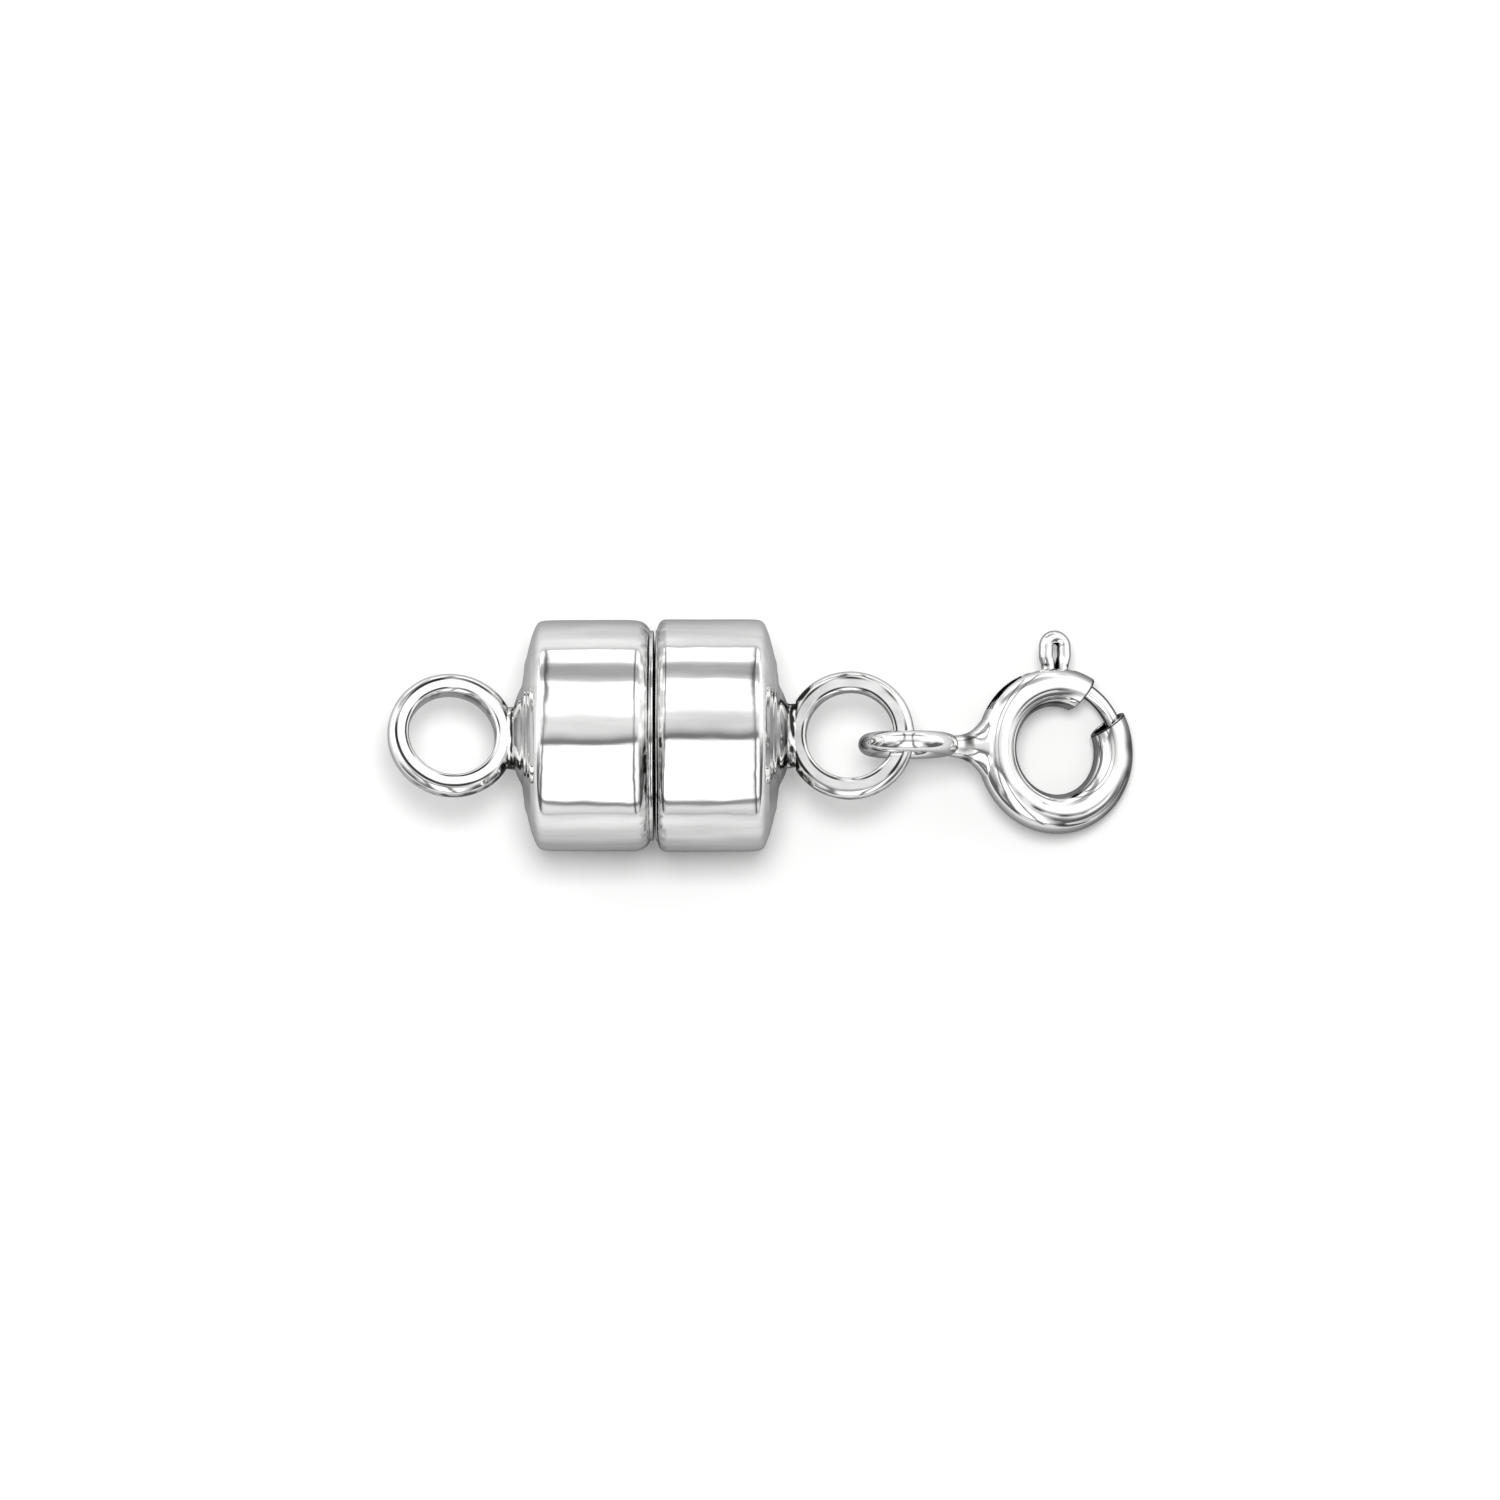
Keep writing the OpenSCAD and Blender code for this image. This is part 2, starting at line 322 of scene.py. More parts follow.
def cup_path(half):
    """The cup's section, from the middle of its end round the mouth to the middle inside."""
    length, mouth, lip = half["length"], half["mouth"], half["lip"]
    mouth_end = lip + mouth
    outer = [(length + s + dome_wave(r), r) for s, r in smooth_path(DOME[::-1], 8)]
    roll_start = mouth_end + half["crown"]
    rolled = []
    steps = 40
    for k in range(1, steps + 1):
        t = 1 - (1 - k / steps) ** 1.6
        rolled.append((roll_start - (roll_start - lip) * t,
                       BARREL_R - (BARREL_R - LIP_R) * t ** half["curl"]))
    rim = filleted([
        (lip + 0.01, LIP_R - 0.005, 0),
        (RIM_FROM_SEAM, LIP_R - 0.01, 0.03),
        (RIM_FROM_SEAM, MOUTH_INNER_R, 0.03),
        (mouth_end, BARREL_R - WALL, 0.1),
        (length - WALL, BARREL_R - WALL, 0.1),
        (length - WALL + 0.8, 0.0, 0)], steps=4)
    return dense(outer + rolled + rim, 0.11)


def line(at, middle, width):
    """How much a fine line round the middle covers, from 1 on it to 0 beyond its width."""
    return max(0.0, 1.0 - abs(at - middle) / width)


def patchy(point, grain, seed):
    """Patches that break up the painted shade, from 0 to 1."""
    cloud = noise.noise(point * grain + Vector((seed, 3.1, 0)))
    return min(1.0, max(0.0, 0.5 + 2.2 * cloud))


def between(low, value, high):
    """From 0 at the low value to 1 at the high one."""
    return min(1.0, max(0.0, (value - low) / (high - low)))


def end_ring_section():
    """The end ring's wire: flat faces, crisp at the hole and rounded outside. Its outline is in
    distance from the ring's axis and height."""
    half = RING_THICK / 2
    corners = [(RING_HOLE_R, -half, RING_HOLE_EDGE), (RING_OUTER_R, -half, RING_RIM_EDGE),
               (RING_OUTER_R, half, RING_RIM_EDGE), (RING_HOLE_R, half, RING_HOLE_EDGE)]
    return dense(closed_fillets(corners, 8), 0.035)


def add_end_ring(form, half, filed_at, seed):
    """The ring, its face along the barrel's axis and its far edge a little raised. The side
    towards the cup is filed flat where it was soldered on."""
    centre = half["length"] + RING_CENTRE_FROM_SHOULDER
    place = (Matrix.Translation((centre, 0, 0))
             @ Matrix.Rotation(math.radians(-half["pitch"]), 4, "Y"))
    steps = 144
    section = end_ring_section()
    rows = []
    for k in range(steps):
        t = 2 * math.pi * k / steps
        row = []
        for r, z in section:
            x = max(r * math.cos(t), -filed_at) if r > RING_HOLE_R + 0.1 else r * math.cos(t)
            row.append(Vector((x, r * math.sin(t), z)))
        rows.append(row)
    form.grid(rows, closed=True)
    hole_edge = RING_HOLE_R + RING_HOLE_EDGE - 0.005
    rim_edge = RING_OUTER_R - RING_RIM_EDGE + 0.015
    shaded_turn = math.radians(half["rim_shade"])
    shaded_side = Vector((math.cos(shaded_turn), math.sin(shaded_turn)))

    def outline(p):
        """Painted dark reflections along the edges of the hole and the rim; painted shade low on
        the hole's wall, on the outer wall at one side, and on the rim at the joint.
        """
        r = p.xy.length
        on_face = 1.0 if abs(p.z) > RING_THICK / 2 - 0.04 else 0.0
        hole = line(r, hole_edge, 0.045) * (0.15 + patchy(p, 1.3, seed + 20))
        rim = line(r, rim_edge, 0.06) * (0.25 + patchy(p, 1.0, seed + 40))
        at_joint = between(0.10, p.x + filed_at, 0.04) * between(0.62, abs(p.y), 0.8)
        # painted shade along the outer wall, on one side of the ring
        rim_shade = line(p.z, 0.03, 0.22) * between(0.25, patchy(p, 3.5, seed + 60), 0.65)
        rim_shade *= between(0.3, p.xy.normalized().dot(shaded_side), 0.75) * (r > RING_OUTER_R - 0.16)
        wall = (r < RING_HOLE_R + 0.04) * between(0.5, patchy(p, 2.4, seed + 80), 0.95)
        # painted shade on the rim next to the solder
        joint_shade = between(0.60, p.x + filed_at, 0.30) * (0.3 + patchy(p, 5.0, seed + 90))
        joint_shade *= between(RING_OUTER_R - 0.20, r, RING_OUTER_R - 0.12)
        return max(on_face * max(hole, rim), rim_shade, wall * line(p.z, 0.15, 0.16), at_joint, joint_shade)

    form.painted_shade(outline)
    for v in form.verts:
        v[:] = place @ v


def superellipse(half_y, half_z, power, sides):
    """Points of a rounded box outline in the YZ plane."""
    points = []
    for k in range(sides):
        t = 2 * math.pi * k / sides
        c, s = math.cos(t), math.sin(t)
        points.append((half_y * math.copysign(abs(c) ** (2 / power), c),
                       half_z * math.copysign(abs(s) ** (2 / power), s)))
    return points


def add_solder(form, half, seed):
    """The solder that joins the ring to the cup, drawn in at its waist and a little ragged."""
    base = half["length"] + SOLDER_FROM_SHOULDER
    lift = math.tan(math.radians(half["pitch"]))
    stations = [(-0.06, 1.02, 0.74, 2.1), (0.00, 1.00, 0.60, 2.2), (0.05, 0.985, 0.50, 2.4),
                (0.10, 0.975, 0.43, 2.7), (0.16, 0.97, 0.38, 3.0), (0.24, 0.97, 0.34, 3.2),
                (0.34, 0.95, 0.31, 3.2), (0.45, 0.88, 0.26, 3.0)]
    rows = []
    for s, half_y, half_z, power in smooth_path(stations, 3):
        rise = lift * (SOLDER_FROM_SHOULDER + s - RING_CENTRE_FROM_SHOULDER)
        row = []
        for y, z in superellipse(half_y, half_z, power, 72):
            p = Vector((base + s, y, z + rise))
            row.append(p + noise.noise_vector(p * 6 + Vector((seed, 0, 0))) * 0.028)
        rows.append(row)
    start = len(form.verts)
    form.loft(rows)
    joint = half["length"] + half["joint"]

    def joint_shade(p):
        """Painted shade along the ragged line where the solder meets the cup, and at its corners.
        """
        middle = joint + 0.03 * noise.noise(p * 4)
        ragged = 2.2 * line(p.x, middle, half["joint_width"]) * patchy(p, 4.0, seed)
        corner = between(0.70, abs(p.y), 0.84) * min(1.0, 3 * line(p.x, joint, 0.3))
        return min(1.0, max(corner * (0.3 + patchy(p, 6.0, seed + 1)), ragged))

    form.painted_shade(joint_shade, start)


def cup_painted_shade(p, half, seed):
    """Painted shade at the cup's lip, in the crease behind it and round the solder, and a painted
    mottled reflection behind the lip.
    """
    radius = p.yz.length
    if p.x > half["length"] - 0.1:
        # on the end: painted shade as a veil over the boss, and a crescent of it along its upper
        # edge
        patch = between(1.0, math.hypot(p.y / 1.25, p.z / 2.4), 0.55)
        edge = between(1.48, radius, 1.14) * between(0.84, radius, 0.96)
        edge *= half["scale"] * between(-1.0, p.z, 0.3)
        return max(edge, patch * half["veil"]) * (0.85 + 0.15 * patchy(p, 2.0, seed))
    if radius < MOUTH_INNER_R + 0.1:
        return 0.0
    # at the mouth: painted shade at its lip and in the crease, which is most ragged at one place,
    # and a painted mottled reflection in patches behind the lip
    lip = between(0.062, p.x, 0.036)
    turn, spread = half["ragged"]
    middle = between(spread, abs(math.atan2(p.y, p.z) - turn), spread * 0.6)
    crease = min(1.0, 2 * line(p.x + 0.04 * noise.noise(p * 5), half["lip"] + 0.13, 0.055))
    mottled = between(0.06, p.x, 0.12) * between(half["mottled"], p.x, half["mottled"] - 0.14)
    mottled *= 0.34 * (0.3 + 0.7 * patchy(p, 4.5, seed + 30))
    return max(lip, mottled, crease * max(middle * (0.5 + patchy(p, 5.0, seed)),
                                          0.55 * patchy(p, 1.1, seed) * patchy(p, 6.0, seed + 2)))


def build_cup(name, half, faces_left, body, material, filed_at, seed):
    """A cup with its end ring soldered on. The seed sets its own patches of painted shade and its
    unevenness.
    """
    form = Form()
    form.lathe(cup_path(half), 240)
    for v in form.verts:
        v.yz = v.yz * (1 + half["oval"] * math.sin(2 * math.atan2(v.y, v.z)))
    form.ripple(half["uneven"], 2.3, seed)
    form.ripple(0.0048, 0.7, seed + 5)
    form.painted_shade(lambda p: cup_painted_shade(p, half, seed))
    ring = Form()
    add_end_ring(ring, half, filed_at, seed)
    ring.ripple(0.006, 0.8, seed + 7)
    add_solder(ring, half, seed + 3)
    form.add(ring)
    return form.piece(name, half_place(half, faces_left), material, body, [name])


# The spring ring

def gap_edge(rho):
    """Half of the gap's angle at this distance from the ring's centre."""
    gap_mid = GAP_HALF_WIDTH + TUBE_R * math.tan(GAP_FLARE)
    inside_x = (RING_MID_R - TUBE_R) * math.cos(gap_mid / RING_MID_R)
    reach = (GAP_HALF_WIDTH - inside_x * math.tan(GAP_FLARE)) * math.cos(GAP_FLARE)
    return GAP_FLARE + math.asin(reach / rho)


def tube_angles(radius, around, across):
    """Angles about the tube's section, with a line along each edge of the slot."""
    edge = math.asin(SLOT_HALF_WIDTH / radius)
    rest = 2 * math.pi - 2 * edge
    return ([edge + rest * k / around for k in range(around + 1)]
            + [edge + rest + 2 * edge * k / across for k in range(1, across)])


def tube_point(u, v, radius):
    """The point at angle u round the ring and v round its section."""
    rho = RING_MID_R + radius * math.cos(v)
    return Vector((rho * math.cos(u), rho * math.sin(u), radius * math.sin(v)))


# Marks along the tube: where round its section, from where to where round the ring, and depth
SEAM_MARKS = [(128.0, 68.0, 268.0, 0.022), (105.0, 80.0, 262.0, 0.012)]
DRAW_MARKS = [(80.0, 215.0, 330.0, 0.010), (52.0, 262.0, 352.0, 0.014),
              (28.0, 285.0, 370.0, 0.010)]


def marks_at(u, v, marks, width):
    """How deep the marks are at this place on the tube, in degrees round the ring and section."""
    depth = 0.0
    for at, start, end, deep in marks:
        along = u + 360 if u + 360 < end else u
        fade = between(start, along, start + 16) * between(end, along, end - 16)
        depth += deep * fade * math.exp(-((v - at) / width) ** 2)
    return depth


def groove(u, v):
    """The closed seam of the tube and the lines that drawing it has left."""
    u, v = math.degrees(u) % 360, math.degrees(v)
    return marks_at(u, v, SEAM_MARKS, 3.4) + marks_at(u, v, DRAW_MARKS, 6.0)


def tube_painted_shade(p):
    """Painted shade in the tube's closed seam, at its cut ends, in its bore and along its inside
    (the hollow), and painted dark reflections along its drawn lines and on its lower right outside
    (the limb)."""
    u = math.degrees(math.atan2(p.y, p.x)) % 360
    rho = p.xy.length
    out = rho - RING_MID_R
    v = math.degrees(math.atan2(p.z, out))
    past_cut = abs((u + 180) % 360 - 180 - math.degrees(GAP_ANGLE)) - math.degrees(gap_edge(rho))
    wall = math.hypot(out, p.z)
    upper_end = math.degrees(GAP_ANGLE) < u < 180
    # inside the bore: painted shade, darkest just inside the upper cut end
    if wall < TUBE_R - 0.01:
        on_face = past_cut * math.radians(rho) < 0.01
        return 0.2 if on_face else 0.7 if upper_end and past_cut < 12 else 0.12
    if past_cut * math.radians(rho) < 0.035:
        return 0.95
    seam = marks_at(u, v, SEAM_MARKS, 3.4) / 0.018
    drawn = marks_at(u, v, DRAW_MARKS, 4.0) / 0.013
    # painted dark reflection on the limb, painted shade in the hollow
    droop = math.degrees(DROOP) * math.cos(math.radians(u))
    past_edge = v - droop
    along = u if u > 180 else u + 360
    limb = between(296, along, 320) * between(386, along, 366)
    limb *= between(12, past_edge, 24) * between(62, past_edge, 48) * (0.3 + 0.25 * patchy(p, 1.1, 5))
    inner = (v if v > -90 else v + 360) - 180 - droop
    hollow = between(-54, inner, -40) * between(26, inner, 10) * between(68, u, 92)
    hollow *= between(282, u, 250) * (0.30 + 0.22 * patchy(p, 1.4, 12))
    return max(min(1.0, seam), min(1.0, drawn) * patchy(p, 1.6, 71), limb, hollow)


def add_tube(form):
    """The hollow tube, with its gap, its cut ends and the slot for the lever. Its rows run round
    the section, the last of them across the slot. Its columns run round the ring, first up to
    the slot, then along it, then on to the other cut end."""
    around, across = 150, 10
    columns = (6, 64, 150)
    edge_round = 0.02
    slot_columns = range(columns[0], columns[0] + columns[1])

    def column_angles(radius, v, inset):
        edge = gap_edge(RING_MID_R + radius * math.cos(v)) + inset / RING_MID_R
        stops = (GAP_ANGLE + edge, SLOT_START, SLOT_END, GAP_ANGLE + 2 * math.pi - edge)
        angles = [stops[0]]
        for a, b, n in zip(stops, stops[1:], columns):
            angles += [a + (b - a) * k / n for k in range(1, n + 1)]
        return angles

    skins = []
    for radius, grooved in ((TUBE_R, True), (TUBE_BORE_R, False)):
        rows = []
        for v in tube_angles(radius, around, across):
            rows.append([tube_point(u, v, radius - (groove(u, v) if grooved else 0))
                         for u in column_angles(radius, v, edge_round)])
        start = len(form.verts)
        wide = len(rows[0])
        for row in rows:
            form.verts += row
        skins.append([[start + r * wide + c for c in range(wide)] for r in range(len(rows))])
        for r in range(len(rows)):
            r2 = (r + 1) % len(rows)
            for c in range(wide - 1):
                if not (r >= around and c in slot_columns):
                    i = skins[-1]
                    form.faces.append((i[r][c], i[r][c + 1], i[r2][c + 1], i[r2][c]))
    outer, inner = skins
    count = len(outer)
    for column in (0, -1):
        lips = []
        for skin, radius in ((TUBE_R, TUBE_R - edge_round),
                             (TUBE_BORE_R, TUBE_BORE_R + edge_round)):
            ring = []
            for v in tube_angles(skin, around, across):
                angles = column_angles(radius, v, 0)
                form.verts.append(tube_point(angles[column], v, radius))
                ring.append(len(form.verts) - 1)
            lips.append(ring)
        strips = [[row[column] for row in outer], lips[0], lips[1], [row[column] for row in inner]]
        for a, b in zip(strips, strips[1:]):
            for r in range(count):
                r2 = (r + 1) % count
                form.faces.append((a[r], a[r2], b[r2], b[r]))
    low, high = columns[0], columns[0] + columns[1]
    for r in (around, 0):
        for c in slot_columns:
            form.faces.append((outer[r][c], outer[r][c + 1], inner[r][c + 1], inner[r][c]))
    for c in (low, high):
        for r in range(around, count):
            r2 = (r + 1) % count
            form.faces.append((outer[r][c], outer[r2][c], inner[r2][c], inner[r][c]))


def add_neck(form):
    """The soldered neck, which flares from the loop's wire to a saddle along the tube."""
    stations = [(-3.66, 0.27, 0.26), (-3.50, 0.31, 0.30), (-3.34, 0.335, 0.32),
                (-3.20, 0.35, 0.33), (-3.10, 0.37, 0.335), (-3.00, 0.40, 0.345),
                (-2.90, 0.44, 0.36), (-2.80, 0.49, 0.38), (-2.71, 0.55, 0.405),
                (-2.62, 0.63, 0.43), (-2.53, 0.72, 0.455), (-2.44, 0.83, 0.48),
                (-2.34, 0.95, 0.50), (-2.20, 1.02, 0.50)]
    rows = []
    for x, half_y, half_z in stations:
        rows.append([Vector((x, y, z)) for y, z in superellipse(half_y, half_z, 2.1, 48)])
    form.loft(rows)


def neck_painted_shade(p):
    """Painted shade where the loop's wire meets the flare."""
    at = between(-3.24, p.x, -3.08) * between(-2.76, p.x, -2.92)
    return at * (0.35 + 0.35 * patchy(p, 2.5, 9))


def build_spring_ring(material):
    """The tube with its neck and its closed connector loop."""
    form = Form()
    add_tube(form)
    form.painted_shade(tube_painted_shade)
    start = len(form.verts)
    add_neck(form)
    form.painted_shade(neck_painted_shade, start)
    loop = [(-LINK_LEN + LOOP_MID_R * math.cos(t), 0, LOOP_MID_R * math.sin(t))
            for t in (2 * math.pi * k / 112 for k in range(112))]
    form.sweep(loop, LOOP_WIRE_R, 40, closed=True, up=(0, 1, 0))
    form.ripple(0.004, 0.9, 21)
    return form.piece("spring_ring_body", spring_ring_place(), material, "spring_half",
                      ["spring_ring"])


# The tongue and its lever

def wire_ends(count, radius, rounded):
    """Radii along a wire that is rounded off at its start over the number of points."""
    radii = [radius] * count
    for i in range(rounded):
        radii[i] = radius * math.sqrt(1 - (1 - (i + 0.15) / rounded) ** 2)
    return radii


def tongue_painted_shade(p):
    """Painted shade along the tongue's two sides, where it slides in the tube."""
    v = math.degrees(math.atan2(p.z, p.xy.length - TONGUE_MID_R))
    return max(line(v, 44.0, 16.0), line(v, 166.0, 16.0)) if p.x > 0.4 else 0.0


def lever_shade(p):
    """Painted shade between the lever's legs and at its foot."""
    if p.x < 2.3:
        return 0.0
    slit = min(1.0, max(0.0, (0.13 - abs(p.y)) * 14)) * (p.x < LEVER_TURN_R + 0.12)
    foot = line(p.x, 2.60, 0.09) * line(abs(p.y), 0.36, 0.14)
    return max(slit, foot)


def build_tongue(material):
    """The wire that closes the gap, with the thumb lever bent from wire and its two burrs."""
    form = Form()
    count = 90
    span = TONGUE_END - TONGUE_START
    path = [(TONGUE_MID_R * math.cos(t), TONGUE_MID_R * math.sin(t), 0)
            for t in (TONGUE_START + span * k / (count - 1) for k in range(count))]
    form.sweep(path, wire_ends(count, TONGUE_WIRE_R, 6), 48)
    form.painted_shade(tongue_painted_shade)
    side = [(2.16, 0.17), (2.42, 0.21), (2.66, 0.235), (2.88, 0.30)]
    turn = [(LEVER_TURN_R + LEVER_HALF_WIDTH * math.cos(math.radians(a)),
             LEVER_HALF_WIDTH * math.sin(math.radians(a))) for a in range(100, -101, -20)]
    outline = side + turn + [(r, -y) for r, y in reversed(side)]
    lever_place = Matrix.Rotation(LEVER_ANGLE, 4, "Z")
    lever = [(r, y, 0) for r, y in outline]
    form.sweep(smooth_path(lever, 6), LEVER_WIRE_R, 28, place=lever_place)
    for side_of_foot in (-1, 1):
        burr = [(r, side_of_foot * aside, 0) for r, aside, _ in BURR]
        form.sweep(burr, [radius for _, _, radius in BURR], 20, place=lever_place)
    upright = lever_place.inverted()
    form.painted_shade(lambda p: lever_shade(upright @ p))
    form.ripple(0.003, 0.6, 33)
    return form.piece("tongue_wire", spring_ring_place(), material, "tongue_body", ["tongue"])


# Materials

def node(tree, kind, place, inputs=None, **settings):
    """Adds a node. Each input is linked to the socket, or set to the value, given for it."""
    made = tree.nodes.new(kind)
    made.location = place
    for name, setting in settings.items():
        setattr(made, name, setting)
    for name, given in (inputs or {}).items():
        if isinstance(given, bpy.types.NodeSocket):
            tree.links.new(given, made.inputs[name])
        else:
            made.inputs[name].default_value = given
    return made


def calc(tree, place, operation, *values):
    """The result of a Math node."""
    made = node(tree, "ShaderNodeMath", place, dict(enumerate(values)), operation=operation)
    return made.outputs["Value"]


def spread(tree, place, value, start, end, low=0.0, high=1.0, **settings):
    """The value taken from one range to another, and held within it."""
    ends = {"Value": value, "From Min": start, "From Max": end, "To Min": low, "To Max": high}
    return node(tree, "ShaderNodeMapRange", place, ends, **settings).outputs["Result"]


def greys(tree, place, value, stops):
    """A ramp of greys over the value."""
    made = node(tree, "ShaderNodeValToRGB", place, {"Fac": value})
    elements = made.color_ramp.elements
    while len(elements) < len(stops):
        elements.new(0.5)
    for element, (at, grey) in zip(elements, stops):
        element.position = at
        element.color = (grey, grey, grey, 1)
    return made.outputs["Color"]


def mixed(tree, place, kind, factor, low, high, **settings):
    """One colour or number that turns into another as the factor grows."""
    first, result = {"FLOAT": (2, 0), "RGBA": (6, 2)}[kind]
    made = node(tree, "ShaderNodeMix", place, {"Factor": factor, first: low, first + 1: high},
                data_type=kind, **settings)
    return made.outputs[result]


def polish_and_shade_group():
    """Polish marks shared by the metals: a soft haze, hairlines and streaks along the X axis. Also
    painted shade: the colour darkens towards a near-black in the crevices, by ambient occlusion,
    and where a piece's own mesh is marked for it."""
    group = bpy.data.node_groups.new("polish_marks_and_painted_shade", "ShaderNodeTree")
    face = group.interface
    for name, kind, value in (("Metal", "NodeSocketColor", (0.9, 0.9, 0.9, 1)),
                              ("Painted_shade_colour", "NodeSocketColor", (0.1, 0.1, 0.1, 1)),
                              ("Roughness", "NodeSocketFloat", 0.05),
                              ("Haze", "NodeSocketFloat", 0.05),
                              ("Hairlines", "NodeSocketFloat", 0.3),
                              ("Crevice", "NodeSocketFloat", 0.00025),
                              ("Streaks", "NodeSocketFloat", 0.9)):
        socket = face.new_socket(name, in_out="INPUT", socket_type=kind)
        socket.default_value = value
    for name, kind in (("Color", "NodeSocketColor"), ("Roughness", "NodeSocketFloat"),
                       ("Height", "NodeSocketFloat")):
        face.new_socket(name, in_out="OUTPUT", socket_type=kind)
    given = node(group, "NodeGroupInput", (-900, 0)).outputs
    place = node(group, "ShaderNodeTexCoord", (-900, -300)).outputs["Object"]

    cloud = node(group, "ShaderNodeTexNoise", (-600, -200),
                 {"Vector": place, "Scale": 900.0, "Detail": 4.0})
    haze = spread(group, (-350, -200), cloud.outputs["Fac"], 0.38, 0.72)
    rough = calc(group, (-100, -200), "MULTIPLY_ADD", haze, given["Haze"], given["Roughness"])

    combed = node(group, "ShaderNodeMapping", (-700, -500),
                  {"Vector": place, "Scale": (1.0, 14.0, 9.0), "Rotation": (0.3, 0.5, 0.9)})
    hair = node(group, "ShaderNodeTexNoise", (-500, -500),
                {"Vector": combed.outputs["Vector"], "Scale": 2600.0, "Detail": 2.0})
    height = calc(group, (-250, -500), "MULTIPLY", hair.outputs["Fac"], given["Hairlines"])

    # painted shade: darker where the crevices shut out light, by ambient occlusion
    near = node(group, "ShaderNodeAmbientOcclusion", (-600, 250), {"Distance": given["Crevice"]},
                samples=6)
    in_the_open = spread(group, (-350, 250), near.outputs["AO"], 0.15, 0.62)
    # painted shade where the piece's own mesh is marked for it
    painted_shade = node(group, "ShaderNodeAttribute", (-600, 500), attribute_name="painted_shade")
    unshaded = spread(group, (-350, 500), painted_shade.outputs["Fac"], 0.10, 0.75, 1.0, 0.0)
    bright = calc(group, (-100, 350), "MULTIPLY", in_the_open, unshaded)

    drawn = node(group, "ShaderNodeMapping", (-700, 750),
                 {"Vector": place, "Scale": (0.13, 1.0, 1.0)})
    veil = node(group, "ShaderNodeTexNoise", (-500, 750),
                {"Vector": drawn.outputs["Vector"], "Scale": 1700.0, "Detail": 5.0,
                 "Roughness": 0.6})
    dimmer = spread(group, (-250, 750), veil.outputs["Fac"], 0.35, 0.65, given["Streaks"], 1.0)
    streaked = node(group, "ShaderNodeVectorMath", (0, 650),
                    {0: given["Metal"], "Scale": dimmer}, operation="SCALE")
    # the metal's colour, darkened by both towards the painted shade colour
    colour = mixed(group, (200, 200), "RGBA", bright, given["Painted_shade_colour"],
                   streaked.outputs["Vector"])

    node(group, "NodeGroupOutput", (700, 0),
         {"Color": colour, "Roughness": rough, "Height": height})
    return group


def metal(name, group, finish, relief):
    """A polished metal, with the finish that it gives the shared polish marks and painted shade."""
    material = bpy.data.materials.new(name)
    material.use_nodes = True
    tree = material.node_tree
    marks = node(tree, "ShaderNodeGroup", (-500, 0), finish, node_tree=group).outputs
    bump = node(tree, "ShaderNodeBump", (-250, -250),
                {"Strength": relief, "Distance": 2e-6, "Height": marks["Height"]})
    shader = tree.nodes["Principled BSDF"]
    shader.inputs["Metallic"].default_value = 1.0
    tree.links.new(marks["Color"], shader.inputs["Base Color"])
    tree.links.new(marks["Roughness"], shader.inputs["Roughness"])
    tree.links.new(bump.outputs["Normal"], shader.inputs["Normal"])
    return material


# Floor, light and camera

# Painted shade on the paper as the silver mirrors it: how light it looks, over the first 24 mm of
# the way to it
PAPER_REACH = 0.024
PAPER_SHADE_IN_SILVER = [(0.0, 0.13), (0.06, 0.21), (0.15, 0.37), (0.23, 0.45), (0.30, 0.56), (0.40, 0.65),
              (0.55, 0.71), (0.80, 0.79), (1.0, 0.85)]

# The light tent. Its whitest cloth, how much of its light falls on the paper, and how light its
# cloths are, by the angle in degrees about the X axis from straight up
WHITEST = 1.42
ON_THE_PAPER = 0.545
CLOTHS = [(-180, 0.55), (-93, 0.62), (-85, 0.85), (-82, 0.85), (-80, 0.30), (-77, 0.30),
          (-74.5, 1.42), (-15, 1.42), (-12.5, 0.22), (-9, 0.22), (-6, 0.50), (-1, 0.78),
          (12, 0.96), (18, 1.42), (48, 1.42), (51, 0.66), (57, 0.46), (66, 0.46), (70, 0.66),
          (73, 1.42), (94, 1.42), (98, 0.6), (180, 0.5)]
# The dark frame at its two ends: how light by the same angle, how much it covers by the place
# along X, and how it leans, at the right end and at the left
FRAME = [(-180, 0.42), (-95, 0.07), (-30, 0.10), (-12, 0.18), (5, 0.36), (25, 0.46), (45, 0.10),
         (75, 0.10), (95, 0.50), (180, 0.50)]
FRAME_COVERS = [(0.0, 0.0), (0.085, 0.0), (0.125, 0.40), (0.148, 0.9), (0.18, 0.9), (0.25, 0.0),
                (1.0, 0.0)]
FRAME_LEANS = [(-0.1, 0.95), (-0.8, 0.42)]
# The cloths beyond the frame, by the place along Y
ENDS = [(0.0, 0.10), (0.25, 0.14), (0.35, 0.54), (0.45, 1.15), (0.50, 1.25), (0.90, 1.25),
        (0.95, 0.54), (1.0, 0.43)]


